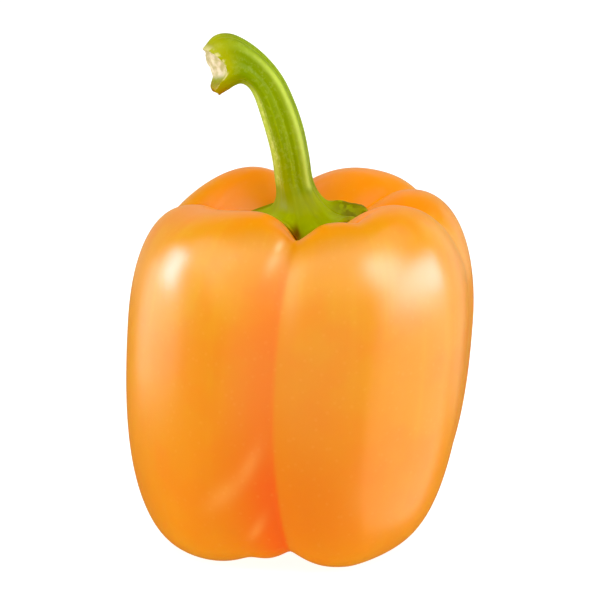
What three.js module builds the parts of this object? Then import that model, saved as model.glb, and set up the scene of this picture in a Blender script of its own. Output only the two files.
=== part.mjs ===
// A bell pepper as picked: the blocky lobed fruit, and the green stalk that grew as one with its calyx.
// Millimetres, +Z up. The pepper stands on the feet of its lobes, at z = 0, and its front is -Y.
// The origin is at the middle of its width and depth. Azimuths are in degrees round the pepper's axis,
// 0 at the front and 90 at its right side, +X.

import * as THREE from "three";

// The fruit's profile, from its axis underneath to its axis on top, before lobes and grooves
const FOOT_RADIUS = 22.5;
const DIMPLE_HEIGHT = 9;
const WIDEST_RADIUS = 45.2;
const WIDEST_HEIGHT = 58;
const FLANK_ROUNDNESS = 2.5;
const CREST_RADIUS = 26;
const CREST_HEIGHT = 94;
const SHOULDER_ROUNDNESS = 2.25;
const HOLLOW_DEPTH = 9.5;
const HOLLOW_FLOOR_SHARE = 0.25;

// The feet are flattened where the fruit rests, and the fruit leans a little to its right as it rises
const FOOT_FLATTENING = 1.5;
const LEAN = 0.06;
const LEAN_HEIGHT = 54;

// The pepper's axis, as seen from the middle of its width and depth
const AXIS_X = -0.11;
const AXIS_Y = 0.42;

// Stations along the profile: the dimple ends at the feet, the flank at the widest level, the shoulder
// at the crests, and the hollow at the axis under the stalk
const FOOT = 1;
const WIDEST = 2;
const CREST = 3;
const PIT = 4;

// Grooves between the lobes. Each value is given at the foot, at the widest level and at the crest:
// azimuth and width in degrees, depth in millimetres. One on the front right lobe is deep at its crest
// alone, so it has a deepening of its own
const GROOVES = [
  { azimuth: [2, -8, -5], depth: [6, 1.5, 9], width: [14, 15, 12] },
  { azimuth: [84, 82, 76], depth: [6, 2.2, 8], width: [18, 18, 12] },
  { azimuth: [182, 182, 184], depth: [6, 2.2, 8], width: [18, 18, 14] },
  { azimuth: [-100, -100, -112], depth: [6, 2, 8], width: [18, 18, 14] },
  { azimuth: [32, 21, 23], depth: [0, 0.3, 5], width: [9, 9, 10], deepening: 5 },
  { azimuth: [128, 122, 119], depth: [1, 0.6, 4.5], width: [12, 14, 12] },
  { azimuth: [-20, -18, -20], depth: [3.2, 0, 0], width: [10, 9, 9] },
];
const GROOVE_ROUNDING = 0.16;
const GROOVE_DEEPENING = 1.6;
const GROOVE_FADE = 0.8;
const PIT_FADE_SPAN = 0.8;

// How far each part round the fruit departs from the plain profile, in millimetres: the lift and reach
// of its crest, the swell of its flank, and the reach and drop of its foot
const LOBES = [
  { azimuth: -92, lift: -4, crestReach: 2.6, swell: -1.1, footReach: 1, footDrop: 0 },
  { azimuth: -60, lift: -5.6, crestReach: 0.4, swell: -0.7, footReach: 0.5, footDrop: 0 },
  { azimuth: -28, lift: 1.1, crestReach: 0.5, swell: -0.2, footReach: -2.5, footDrop: 0 },
  { azimuth: 13, lift: -0.4, crestReach: 0, swell: 0, footReach: 1.5, footDrop: 0 },
  { azimuth: 54, lift: -0.3, crestReach: 1, swell: -0.6, footReach: 0.6, footDrop: 0.1 },
  { azimuth: 98, lift: -1.2, crestReach: -0.9, swell: -0.4, footReach: 0, footDrop: 0.2 },
  { azimuth: 150, lift: -0.9, crestReach: -1.6, swell: 0, footReach: -0.3, footDrop: 0.5 },
  { azimuth: -146, lift: 0.8, crestReach: -2.2, swell: 0, footReach: 0.8, footDrop: 0.8 },
];
const LOBE_BLENDING = 7;

// The calyx lies in the hollow with a hair's gap, and its edge runs out into the grooves in points
const CALYX_GAP = 0.4;
const CALYX_THICKNESS = 1.3;
const CALYX_RADIUS = 12.4;
const CALYX_EDGE_SHARE = 1.03;
const CALYX_EDGE_LEVEL = 0.45;
const CALYX_POINTS = [
  { azimuth: -5, length: 2.4, width: 16 },
  { azimuth: 94, length: 1.4, width: 20 },
  { azimuth: 184, length: 1.6, width: 16 },
  { azimuth: -108, length: 1.6, width: 18 },
  { azimuth: 32, length: 0.8, width: 12 },
  { azimuth: 140, length: 0.4, width: 14 },
  { azimuth: -60, length: 1.2, width: 14 },
];
const FLARE_HEIGHT = 2.6;
const FLARE_INNER_SHARE = 0.4;
const FLARE_OUTER_SHARE = 0.98;
const FLARE_STALK_START = 0.04;
const FLARE_STALK_END = 0.18;

// The stalk from its root to its cut end: its outer and inner edge as seen from the front, as x and z
// from the pepper's axis, and half of its depth from front to back
const STALK = [
  { outer: [8.4, 80.5], inner: [-5.8, 80.5], halfDepth: 6.8 },
  { outer: [5.4, 86.3], inner: [-5.3, 86.3], halfDepth: 5.4 },
  { outer: [3.2, 92.8], inner: [-5.9, 93.3], halfDepth: 4.5 },
  { outer: [2.2, 99.1], inner: [-6.7, 99.0], halfDepth: 4.4 },
  { outer: [0.8, 105.9], inner: [-8.1, 104.8], halfDepth: 4.3 },
  { outer: [-1.4, 112.4], inner: [-9.6, 109.9], halfDepth: 4.2 },
  { outer: [-4.3, 118.5], inner: [-11.0, 113.9], halfDepth: 4.2 },
  { outer: [-8.2, 123.5], inner: [-12.5, 116.3], halfDepth: 4.3 },
  { outer: [-12.8, 127.4], inner: [-14.3, 117.3], halfDepth: 4.6 },
  { outer: [-17.0, 129.4], inner: [-16.0, 116.9], halfDepth: 5.0 },
  { outer: [-20.9, 128.9], inner: [-17.6, 115.7], halfDepth: 5.2 },
  { outer: [-23.8, 125.8], inner: [-19.3, 114.5], halfDepth: 4.9 },
];
const STALK_RIDGES = 5;
const STALK_RIDGE_AZIMUTH = 45;
const STALK_RIDGE_HEIGHT = 0.38;
const RIDGE_RISE_SHARE = 0.17;
const RIDGE_FALL_SHARE = 0.13;
const RIDGE_LEFT_AT_CUT = 0.25;

// Where the stalk was cut: the face is turned a little to the front and notched across, and a lip is left
// on its inner side. The lip's place and width are shares of the half section
const CUT_TILT = 1.7;
const CUT_TILT_START = 0.62;
const CUT_NOTCH = 2.3;
const CUT_NOTCH_START = 0.8;
const CUT_LIP = 3.8;
const CUT_LIP_PLACE = -0.66;
const CUT_LIP_WIDTH = 0.34;

// The cut face sinks in from its rim: each ring's share of the stalk's section, and its depth
const CUT_RINGS = [
  { share: 0.97, sink: 0.35 },
  { share: 0.8, sink: 0.3 },
  { share: 0.45, sink: 0.1 },
  { share: 0, sink: 0 },
];

// How finely the surfaces are divided
const PROFILE_SAMPLES = 4000;
const NORMAL_STEP = 0.001;
const FRUIT_COLUMNS = 84;
const FRUIT_ROWS = 42;
const FOOT_DENSITY = 2.5;
const FOOT_DENSITY_SPAN = 0.12;
const GREEN_COLUMNS = 42;
const UNDERSIDE_ROWS = 5;
const FLARE_ROWS = 7;
const STALK_ROWS = 20;

const HALF_PI = Math.PI / 2;
const clamp = THREE.MathUtils.clamp;
const radians = THREE.MathUtils.degToRad;

function smooth(share) {
  return share * share * (3 - 2 * share);
}

// An angle in degrees, brought between -180 and 180
function wrapped(degrees) {
  return THREE.MathUtils.euclideanModulo(degrees + 180, 360) - 180;
}

// Radius and height of the plain profile at a station
function profileAt(station) {
  if (station <= FOOT) {
    return {
      radius: FOOT_RADIUS * station,
      height: (DIMPLE_HEIGHT * (1 + Math.cos(Math.PI * station))) / 2,
    };
  }
  if (station <= WIDEST) {
    const angle = (station - FOOT) * HALF_PI;
    const out = Math.sin(angle) ** (2 / FLANK_ROUNDNESS);
    const up = 1 - Math.cos(angle) ** (2 / FLANK_ROUNDNESS);
    return {
      radius: FOOT_RADIUS + (WIDEST_RADIUS - FOOT_RADIUS) * out,
      height: WIDEST_HEIGHT * up,
    };
  }
  if (station <= CREST) {
    const angle = (station - WIDEST) * HALF_PI;
    const out = Math.cos(angle) ** (2 / SHOULDER_ROUNDNESS);
    const up = Math.sin(angle) ** (2 / SHOULDER_ROUNDNESS);
    return {
      radius: CREST_RADIUS + (WIDEST_RADIUS - CREST_RADIUS) * out,
      height: WIDEST_HEIGHT + (CREST_HEIGHT - WIDEST_HEIGHT) * up,
    };
  }
  const inward = station - CREST;
  const drop = Math.min(inward / (1 - HOLLOW_FLOOR_SHARE), 1);
  return {
    radius: CREST_RADIUS * (1 - inward),
    height: CREST_HEIGHT - (HOLLOW_DEPTH * (1 - Math.cos(Math.PI * drop))) / 2,
  };
}

// The profile's outward normal at a station, as its radial and its upward part
function profileNormalAt(station) {
  const before = profileAt(Math.max(station - NORMAL_STEP, 0));
  const after = profileAt(Math.min(station + NORMAL_STEP, PIT));
  const outward = after.height - before.height;
  const upward = before.radius - after.radius;
  const length = Math.hypot(outward, upward);
  return { radial: outward / length, upward: upward / length };
}

// A value given at the foot, the widest level and the crest, eased between them
function easedAlong(station, [foot, widest, crest]) {
  const flank = smooth(clamp(station - FOOT, 0, 1));
  const shoulder = smooth(clamp(station - WIDEST, 0, 1));
  return foot + (widest - foot) * flank + (crest - widest) * shoulder;
}

// A groove's depth: least at the widest level, and faster and faster deeper towards both ends
function depthAlong(station, [foot, widest, crest], deepening) {
  const down = clamp(WIDEST - station, 0, 1) ** deepening;
  const up = clamp(station - WIDEST, 0, 1) ** deepening;
  return widest + (foot - widest) * down + (crest - widest) * up;
}

// How deep all the grooves together cut at a point. Across, a groove is a rounded notch with long tails
function grooveDepthAt(azimuth, station) {
  let depth = 0;
  for (const groove of GROOVES) {
    const distance = wrapped(azimuth - easedAlong(station, groove.azimuth));
    const across = distance / easedAlong(station, groove.width);
    const rounded = Math.hypot(across, GROOVE_ROUNDING) - GROOVE_ROUNDING;
    const deepening = groove.deepening ?? GROOVE_DEEPENING;
    depth += depthAlong(station, groove.depth, deepening) * Math.exp(-rounded);
  }
  const fromDimple = clamp(station, 0, 1) ** GROOVE_FADE;
  const fromPit = clamp((PIT - station) / PIT_FADE_SPAN, 0, 1) ** GROOVE_FADE;
  return depth * fromDimple * fromPit;
}

// The lobes' values at an azimuth, each lobe counting for more the nearer its middle is
function lobeAt(azimuth) {
  const sum = { lift: 0, crestReach: 0, swell: 0, footReach: 0, footDrop: 0 };
  let total = 0;
  for (const lobe of LOBES) {
    const nearness = Math.cos(radians(azimuth - lobe.azimuth)) - 1;
    const weight = Math.exp(LOBE_BLENDING * nearness);
    total += weight;
    for (const key of Object.keys(sum)) {
      sum[key] += weight * lobe[key];
    }
  }
  for (const key of Object.keys(sum)) {
    sum[key] /= total;
  }
  return sum;
}

// A point on the fruit's skin
function fruitPoint(azimuth, station) {
  const plain = profileAt(station);
  const normal = profileNormalAt(station);
  const lobe = lobeAt(azimuth);
  const crestShare = smooth(clamp(station - WIDEST, 0, 1)) * smooth(clamp(PIT - station, 0, 1));
  const footShare = smooth(clamp(WIDEST - station, 0, 1)) * smooth(clamp(station, 0, 1));
  const flankShare = Math.sin(clamp((station - FOOT) / 2, 0, 1) * Math.PI);
  const out = lobe.swell * flankShare - grooveDepthAt(azimuth, station);
  const reach = lobe.crestReach * crestShare + lobe.footReach * footShare;
  const radius = plain.radius + out * normal.radial + reach;
  const rise = lobe.lift * crestShare - lobe.footDrop * footShare;
  const height = plain.height + out * normal.upward + rise;
  const angle = radians(azimuth);
  return new THREE.Vector3(
    radius * Math.sin(angle) + LEAN * (height - LEAN_HEIGHT),
    -radius * Math.cos(angle),
    Math.max(height - FOOT_FLATTENING, 0),
  );
}

// Stations at equal distances along the profile, closer together round the feet
function profileStations(rows) {
  const lengths = [0];
  for (let i = 1; i <= PROFILE_SAMPLES; i += 1) {
    const station = (PIT * i) / PROFILE_SAMPLES;
    const here = profileAt(station);
    const before = profileAt((PIT * (i - 1)) / PROFILE_SAMPLES);
    const step = Math.hypot(here.radius - before.radius, here.height - before.height);
    const footness = Math.exp(-(((station - FOOT) / FOOT_DENSITY_SPAN) ** 2));
    lengths.push(lengths[i - 1] + step * (1 + FOOT_DENSITY * footness));
  }
  const stations = [];
  let at = 0;
  for (let row = 0; row <= rows; row += 1) {
    const wanted = (lengths[PROFILE_SAMPLES] * row) / rows;
    while (at < PROFILE_SAMPLES && lengths[at] < wanted) {
      at += 1;
    }
    stations.push((PIT * at) / PROFILE_SAMPLES);
  }
  return stations;
}

// A closed surface from rings of points, from the pole at its start to the pole at its end. Each ring
// runs from the front to the right, and the rings follow each other so that the surface faces outwards
function ringSurface(startPole, rings, endPole) {
  const columns = rings[0].length;
  const points = [startPole, ...rings.flat(), endPole];
  const endIndex = points.length - 1;
  const at = (ring, column) => 1 + ring * columns + (column % columns);
  const triangles = [];
  for (let column = 0; column < columns; column += 1) {
    triangles.push(0, at(0, column + 1), at(0, column));
    triangles.push(endIndex, at(rings.length - 1, column), at(rings.length - 1, column + 1));
  }
  for (let ring = 0; ring < rings.length - 1; ring += 1) {
    for (let column = 0; column < columns; column += 1) {
      const lowerLeft = at(ring, column);
      const lowerRight = at(ring, column + 1);
      const upperRight = at(ring + 1, column + 1);
      const upperLeft = at(ring + 1, column);
      triangles.push(lowerLeft, lowerRight, upperRight);
      triangles.push(lowerLeft, upperRight, upperLeft);
    }
  }
  const geometry = new THREE.BufferGeometry();
  geometry.setFromPoints(points);
  geometry.setIndex(triangles);
  geometry.computeVertexNormals();
  return geometry;
}

// One ring of points, made by a function of the azimuth
function ringOf(columns, pointAt) {
  return Array.from({ length: columns }, (_, column) => pointAt(-180 + (360 * column) / columns));
}

// The fruit: one solid, because the photograph shows only its outside
function makeFruit() {
  const stations = profileStations(FRUIT_ROWS);
  const inner = stations.slice(1, -1);
  const rings = inner.map((station) => ringOf(FRUIT_COLUMNS, (azimuth) => fruitPoint(azimuth, station)));
  const geometry = ringSurface(fruitPoint(0, 0), rings, fruitPoint(0, PIT));
  const skin = new THREE.MeshStandardMaterial({ color: 0xf08a1e, roughness: 0.3, metalness: 0 });
  const mesh = new THREE.Mesh(geometry, skin);
  mesh.name = "fruit";
  return mesh;
}

// How far the calyx reaches from the axis at an azimuth
function calyxReachAt(azimuth) {
  let reach = CALYX_RADIUS;
  for (const point of CALYX_POINTS) {
    const across = wrapped(azimuth - point.azimuth) / point.width;
    reach += point.length * Math.exp(-across * across);
  }
  return reach;
}

// A point at a share of the calyx's reach, at a height above the fruit's skin
function overFruit(azimuth, share, height) {
  const station = PIT - (share * calyxReachAt(azimuth)) / CREST_RADIUS;
  const normal = profileNormalAt(station);
  const angle = radians(azimuth);
  const up = new THREE.Vector3(
    normal.radial * Math.sin(angle),
    -normal.radial * Math.cos(angle),
    normal.upward,
  );
  return fruitPoint(azimuth, station).addScaledVector(up, height);
}

// A smooth curve through one value of each row of the stalk's list
function stalkCurve(pointOf) {
  return new THREE.CatmullRomCurve3(STALK.map(pointOf), false, "catmullrom", 0.5);
}

const outerEdge = stalkCurve(({ outer: [x, z] }) => new THREE.Vector3(x, 0, z));
const innerEdge = stalkCurve(({ inner: [x, z] }) => new THREE.Vector3(x, 0, z));
const halfDepths = stalkCurve(({ halfDepth }) => new THREE.Vector3(0, halfDepth, 0));

// How far the cut has drawn the stalk back by now: all of it at the end, and nothing before the start
function drawnBack(along, start, distance) {
  return distance * smooth(clamp((along - start) / (1 - start), 0, 1));
}

// A point on the stalk, a share of its length from the root. The section share shrinks the ring
// towards its middle, and the offset moves it on along the stalk
function stalkPoint(azimuth, along, sectionShare = 1, offset = 0) {
  const outer = outerEdge.getPoint(along);
  const inner = innerEdge.getPoint(along);
  const middle = outer.clone().add(inner).multiplyScalar(0.5);
  const halfWidth = outer.distanceTo(inner) / 2;
  const across = outer.clone().sub(inner).normalize();
  const onward = new THREE.Vector3(-across.z, 0, across.x);
  const angle = radians(azimuth);
  const risen = clamp(along / RIDGE_RISE_SHARE, 0, 1);
  const left = clamp((1 - along) / RIDGE_FALL_SHARE, RIDGE_LEFT_AT_CUT, 1);
  const wave = Math.cos(STALK_RIDGES * radians(azimuth - STALK_RIDGE_AZIMUTH));
  const ridge = STALK_RIDGE_HEIGHT * wave * risen * left;
  const halfDepth = halfDepths.getPoint(along).y;
  const toSide = sectionShare * Math.sin(angle);
  const toFront = sectionShare * Math.cos(angle);
  const tilt = drawnBack(along, CUT_TILT_START, CUT_TILT) * toFront;
  const notch = drawnBack(along, CUT_NOTCH_START, CUT_NOTCH) * toFront * toFront;
  const onLip = (Math.exp(-(((toSide - CUT_LIP_PLACE) / CUT_LIP_WIDTH) ** 2)) * (1 + toFront)) / 2;
  const lip = drawnBack(along, CUT_NOTCH_START, CUT_LIP) * onLip;
  return middle
    .addScaledVector(across, (halfWidth + ridge) * toSide)
    .addScaledVector(onward, offset - tilt - notch + lip)
    .add(new THREE.Vector3(0, -(halfDepth + ridge) * toFront, 0));
}

// The calyx's upper side rises from its edge and turns into the stalk
function flarePoint(azimuth, climb) {
  const share = FLARE_OUTER_SHARE + (FLARE_INNER_SHARE - FLARE_OUTER_SHARE) * climb;
  const onCalyx = overFruit(azimuth, share, CALYX_GAP + CALYX_THICKNESS + FLARE_HEIGHT * climb);
  const along = FLARE_STALK_START + (FLARE_STALK_END - FLARE_STALK_START) * climb;
  return onCalyx.lerp(stalkPoint(azimuth, along), smooth(climb));
}

// The stalk and its calyx: rings go out under the calyx, round its edge, up the stalk and into the cut
function makeStemAndCalyx() {
  const rings = [];
  for (let row = 1; row <= UNDERSIDE_ROWS; row += 1) {
    rings.push(ringOf(GREEN_COLUMNS, (azimuth) => overFruit(azimuth, row / UNDERSIDE_ROWS, CALYX_GAP)));
  }
  const edgeHeight = CALYX_GAP + CALYX_THICKNESS * CALYX_EDGE_LEVEL;
  rings.push(ringOf(GREEN_COLUMNS, (azimuth) => overFruit(azimuth, CALYX_EDGE_SHARE, edgeHeight)));
  for (let row = 0; row < FLARE_ROWS; row += 1) {
    rings.push(ringOf(GREEN_COLUMNS, (azimuth) => flarePoint(azimuth, row / FLARE_ROWS)));
  }
  for (let row = 0; row <= STALK_ROWS; row += 1) {
    const along = FLARE_STALK_END + ((1 - FLARE_STALK_END) * row) / STALK_ROWS;
    rings.push(ringOf(GREEN_COLUMNS, (azimuth) => stalkPoint(azimuth, along)));
  }
  const cutRings = CUT_RINGS.slice(0, -1);
  for (const { share, sink } of cutRings) {
    rings.push(ringOf(GREEN_COLUMNS, (azimuth) => stalkPoint(azimuth, 1, share, -sink)));
  }
  const cutMiddle = CUT_RINGS[CUT_RINGS.length - 1];
  const startPole = overFruit(0, 0, CALYX_GAP);
  const endPole = stalkPoint(90, 1, cutMiddle.share, -cutMiddle.sink);
  const geometry = ringSurface(startPole, rings, endPole);
  const green = new THREE.MeshStandardMaterial({ color: 0x8fa31c, roughness: 0.5, metalness: 0 });
  const mesh = new THREE.Mesh(geometry, green);
  mesh.name = "stem_and_calyx";
  return mesh;
}

const group = new THREE.Group();
group.name = "bell_pepper";
group.add(makeFruit(), makeStemAndCalyx());
group.position.set(AXIS_X, AXIS_Y, 0);

export default group;
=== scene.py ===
"""A bell pepper in a small studio: the lobed orange fruit, and the green stalk grown as one with its calyx.

Every surface is a grid of points worked out from a formula. A column of the grid is an azimuth round the
pepper's axis, in degrees from the front and positive to the right. A row is a station along the fruit's
profile, or a share of the way up the stalk. Shapes are in millimetres until their mesh is made.
"""
import math

import bpy
import numpy as np
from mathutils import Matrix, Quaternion, Vector


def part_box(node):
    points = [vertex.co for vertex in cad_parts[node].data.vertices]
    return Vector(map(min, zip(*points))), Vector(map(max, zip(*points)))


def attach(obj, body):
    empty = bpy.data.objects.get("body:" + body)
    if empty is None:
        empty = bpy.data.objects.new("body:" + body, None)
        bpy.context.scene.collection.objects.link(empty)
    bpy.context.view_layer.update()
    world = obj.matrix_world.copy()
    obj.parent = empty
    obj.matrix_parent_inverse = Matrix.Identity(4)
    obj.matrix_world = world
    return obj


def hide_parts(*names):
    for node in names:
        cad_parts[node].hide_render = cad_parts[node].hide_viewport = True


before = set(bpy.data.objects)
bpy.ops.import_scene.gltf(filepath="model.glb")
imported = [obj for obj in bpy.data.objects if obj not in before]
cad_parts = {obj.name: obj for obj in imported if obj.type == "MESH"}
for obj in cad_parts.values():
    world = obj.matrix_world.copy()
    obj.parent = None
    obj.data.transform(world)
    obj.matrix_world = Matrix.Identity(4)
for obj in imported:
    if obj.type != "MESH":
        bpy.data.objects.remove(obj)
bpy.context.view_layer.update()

MM = 0.001
HALF_PI = math.pi / 2

# The fruit's profile, as on the solid
FOOT_RADIUS = 22.5
DIMPLE_HEIGHT = 9.0
WIDEST_RADIUS = 45.2
WIDEST_HEIGHT = 58.0
FLANK_ROUNDNESS = 2.5
CREST_RADIUS = 26.0
CREST_HEIGHT = 94.0
SHOULDER_ROUNDNESS = 2.25
HOLLOW_DEPTH = 9.5
HOLLOW_FLOOR_SHARE = 0.25
FOOT_FLATTENING = 1.5
LEAN = 0.06
LEAN_HEIGHT = 54.0

# Stations along the profile: dimple, flank, shoulder and hollow end at these
FOOT, WIDEST, CREST, PIT = 1.0, 2.0, 3.0, 4.0

# Grooves between the lobes, each at the foot, the widest level and the crest. Some are sharper than the
# rest, and some deepen later on the way to either end.
GROOVES = [
    {"azimuth": (2, -9, -5), "depth": (6, 1.5, 9), "width": (14, 15, 12)},
    {"azimuth": (84, 82, 76), "depth": (6, 2.2, 8), "width": (18, 18, 12)},
    {"azimuth": (182, 182, 184), "depth": (6, 2.2, 8), "width": (18, 18, 14)},
    {"azimuth": (-100, -100, -112), "depth": (6, 2, 8), "width": (18, 18, 14)},
    {"azimuth": (32, 21, 23), "depth": (-0.2, -0.3, 5), "width": (9, 9, 10), "deepening": 5},
    {"azimuth": (128, 122, 119), "depth": (1, 0.6, 4.5), "width": (12, 14, 12)},
    {"azimuth": (-20, -18, -20), "depth": (2.9, 0, 0), "width": (10, 9, 9), "rounding": 0.5},
    {"azimuth": (2, -9, -5), "depth": (0.5, 0.35, 0.2), "width": (5, 5, 5), "rounding": 0.15},
]
# How round a groove's bottom is, the powers by which grooves deepen and fade, and the span of stations over
# which they fade before the pit
GROOVE_ROUNDING = 0.16
GROOVE_DEEPENING = 1.6
GROOVE_FADE = 0.8
PIT_FADE_SPAN = 0.8

# Lobes: lift and reach of the crest, swell of the flank, reach and drop of the foot
LOBES = [
    {"azimuth": -92, "lift": -4.0, "crest_reach": 2.6, "swell": -1.1, "foot_reach": 1.0, "foot_drop": 0.0},
    {"azimuth": -60, "lift": -5.6, "crest_reach": 0.4, "swell": -0.7, "foot_reach": 0.5, "foot_drop": 0.0},
    {"azimuth": -28, "lift": 1.1, "crest_reach": 0.5, "swell": -0.2, "foot_reach": -2.5, "foot_drop": 0.0},
    {"azimuth": 13, "lift": -0.4, "crest_reach": 0.0, "swell": 0.0, "foot_reach": 1.5, "foot_drop": 0.0},
    {"azimuth": 54, "lift": -0.3, "crest_reach": 1.0, "swell": -0.6, "foot_reach": 0.6, "foot_drop": 0.1},
    {"azimuth": 98, "lift": -1.2, "crest_reach": -0.9, "swell": -0.4, "foot_reach": 0.0, "foot_drop": 0.2},
    {"azimuth": 150, "lift": -0.9, "crest_reach": -1.6, "swell": 0.0, "foot_reach": -0.3, "foot_drop": 0.5},
    {"azimuth": -146, "lift": 0.8, "crest_reach": -2.2, "swell": 0.0, "foot_reach": 0.8, "foot_drop": 0.8},
]
# How narrow a lobe's hold on its values is
LOBE_BLENDING = 7.0

# Slow swells of the skin: waves round the fruit, waves along its profile, phase in degrees, height
SKIN_WAVES = [
    (3, 1.3, 40, 0.16),
    (5, 2.2, 190, 0.12),
    (8, 1.7, 75, 0.07),
    (12, 3.1, 300, 0.04),
    (7, 5.3, 10, 0.04),
]
WAVE_DEGREES_PER_STATION = 90
# Spans of stations over which the relief sets in past the dimple, and ends before the calyx
RELIEF_FADE_AT_DIMPLE = 0.5
RELIEF_FADE_AT_CALYX = 0.3
CALYX_STATION = 3.4
# Painted shade, red-orange, on the left wall of the front groove: how wide it fades, how wide its edge at the
# groove is, and its strength along the profile
SIDE_SHADE_WIDTH = 13.0
SIDE_SHADE_EDGE = 0.9
SIDE_SHADE_STATIONS = (1.15, 1.35, 1.7, 1.85, 2.1, 2.35, 2.6)
SIDE_SHADE_STRENGTHS = (0.2, 1.0, 0.95, 0.55, 0.5, 0.45, 0.0)
# Shallow dents: azimuth, station, width in degrees, length in stations, depth
SKIN_DENTS = [
    (-27, 1.62, 9, 0.16, 0.5),
    (-13, 1.36, 6, 0.12, 0.45),
    (44, 1.32, 10, 0.15, 0.3),
    (-66, 1.5, 13, 0.2, 0.35),
    (142, 1.9, 16, 0.25, 0.4),
    (-140, 2.1, 14, 0.3, 0.35),
]
# Soft raised folds beside the front groove: azimuth, station, half length, half width, height in mm, and
# how much its far end is turned up, in degrees
SKIN_FOLDS = [
    (-15, 1.77, 3.8, 1.6, 0.18, 51),
    (-13, 1.5, 4.2, 1.5, 0.16, 60),
    (-24, 1.66, 6.0, 2.2, 0.1, 35),
]
# Painted highlights by the front groove's top, given as the folds are, with their strength in place of a
# height
GROOVE_HIGHLIGHTS = [
    (-11.6, 2.62, 3.4, 0.9, 0.6, 84),
    (-12.6, 2.5, 4.6, 1.5, 0.3, 80),
    (-4.5, 2.3, 9.0, 2.2, 0.1, 88),
]
# Lengths on the skin that folds and painted highlights are measured by
MM_PER_DEGREE = 0.75
MM_PER_STATION = 55.0
# Colour of the skin: groove depth at which the shade painted in a groove is darkest, the station and azimuth
# of the shade painted low on the fruit, most at its front, with how far it spreads, its strength on the other
# sides, and the stations over which the hollow's sets in
DARKEST_GROOVE_SHADE = 9.0
LOW_SHADE_STATION, LOW_SHADE_SPREAD = 1.6, 0.42
LOW_SHADE_AZIMUTH, LOW_SHADE_WIDTH = -2, 38
LOW_SHADE_ALL_ROUND = 0.35
HOLLOW_SPAN = (2.6, 3.1)
# Scar of the blossom in the dimple
SCAR_SPAN = 0.1
SCAR_HEIGHT = 0.7

# The calyx in the hollow: its gap over the skin, its thickness, its reach from the axis, how far its edge
# bulges as a share of that reach, and its points in the grooves: azimuth, length, width in degrees
CALYX_GAP = 0.15
CALYX_THICKNESS = 1.3
CALYX_RADIUS = 12.4
CALYX_EDGE_BULGE = 0.03
CALYX_POINTS = [
    (-5, 2.4, 16),
    (94, 1.4, 20),
    (184, 1.6, 16),
    (-106, 2.8, 17),
    (32, 0.8, 12),
    (140, 0.4, 14),
    (-60, 1.2, 14),
]
# Where the calyx is thicker than elsewhere: azimuth, width in degrees, extra thickness
CALYX_SWELLS = [
    (84, 24, 2.0),
    (-106, 18, 0.9),
]
# Ribs raised along the calyx's arms: azimuth, width in degrees, share of the climb, its spread, height
CALYX_RIBS = [
    (98, 18, 0.3, 0.22, 2.4),
    (-110, 15, 0.36, 0.22, 2.4),
]
# Crinkles at the end of the right arm: where they are, and two waves that cross, each with its slant in
# radians and the first with its share of the height
CRINKLE_AZIMUTH = 84
CRINKLE_WIDTH = 26
CRINKLE_SPREAD = 0.32
CRINKLE_WAVES_ROUND = 13
CRINKLE_SLANT_ROUND = 9
CRINKLE_SHARE_ROUND = 0.6
CRINKLE_WAVES_UP = 5.5
CRINKLE_SLANT_UP = 4
CRINKLE_HEIGHT = 0.22
# The calyx's upper side rises towards the stalk between two shares of its reach, and blends into a stretch of
# the stalk
FLARE_HEIGHT = 2.6
FLARE_INNER_SHARE = 0.4
FLARE_OUTER_SHARE = 0.98
FLARE_STALK_START = 0.04
FLARE_STALK_END = 0.18

# The stalk at equal shares of the way up: its outer and its inner edge as seen from the front, each x and z
# from the pepper's axis, and half of its depth
STALK = [
    ((8.4, 80.5), (-5.8, 80.5), 6.8),
    ((5.4, 86.3), (-5.3, 86.3), 5.4),
    ((3.2, 92.8), (-5.9, 93.3), 4.5),
    ((2.2, 99.1), (-6.7, 99.0), 4.4),
    ((0.8, 105.9), (-8.1, 104.8), 4.3),
    ((-1.4, 112.4), (-9.6, 109.9), 4.2),
    ((-4.3, 118.5), (-11.0, 113.9), 4.2),
    ((-8.2, 123.5), (-12.5, 116.3), 4.3),
    ((-12.8, 127.4), (-14.3, 117.3), 4.6),
    ((-17.0, 129.4), (-16.0, 116.9), 5.0),
    ((-20.9, 128.9), (-17.6, 115.7), 5.2),
    ((-23.8, 125.8), (-19.3, 114.5), 4.9),
]
# Ridges and fibres round the stalk. The ridges rise over a share of the way from its foot, and fall over
# another before its cut.
STALK_RIDGES = 5
STALK_RIDGE_AZIMUTH = 45
STALK_RIDGE_HEIGHT = 0.38
RIDGE_RISE_SHARE = 0.17
RIDGE_FALL_SHARE = 0.13
RIDGE_LEFT_AT_CUT = 0.25
FIBRES = 19
FIBRE_HEIGHT = 0.04
FIBRE_TWIST = 5
# The oblique cut: how far its front is tilted back, how far its front and back are notched, and the share of
# the way up from which each sets in. Then the lip on its inner side, with its place and width across the cut,
# the groove inside its rim with the share of the way in that it takes, and the waves of its pith.
CUT_TILT = 1.7
CUT_TILT_START = 0.62
CUT_NOTCH = 2.3
CUT_NOTCH_START = 0.8
CUT_LIP = 3.8
CUT_LIP_PLACE = -0.66
CUT_LIP_WIDTH = 0.34
CUT_RIM_DEPTH = 0.35
CUT_RIM_SHARE = 0.25
PITH_RELIEF = 0.28
PITH_WAVES_ACROSS = 7
PITH_PHASE_ACROSS = 2
PITH_WAVES_ALONG = 8

# Levels of the green body's rings below the stalk, and how many the cut takes past the stalk's end
UNDERSIDE_LEVEL = -1
EDGE_LEVEL = -0.5
CUT_LEVELS = 0.2
# The way from the calyx's edge to the foot of the stalk, and to the cut
FOOT_PLACE = 1
CUT_PLACE = 2
# Lengths of the fibres' pattern along the stalk
FIBRE_LENGTHS = 4

# Where the green body's colour changes. Azimuths and widths are in degrees. On the calyx a reach or a fade is
# a share of the way from its edge to the stalk. On the stalk a span or a fade is of levels, from 0 at its
# foot to 1 at its cut.
DARK_EDGE_REACH = 0.12
DARK_EDGE_ALL_ROUND = 0.25
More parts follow.
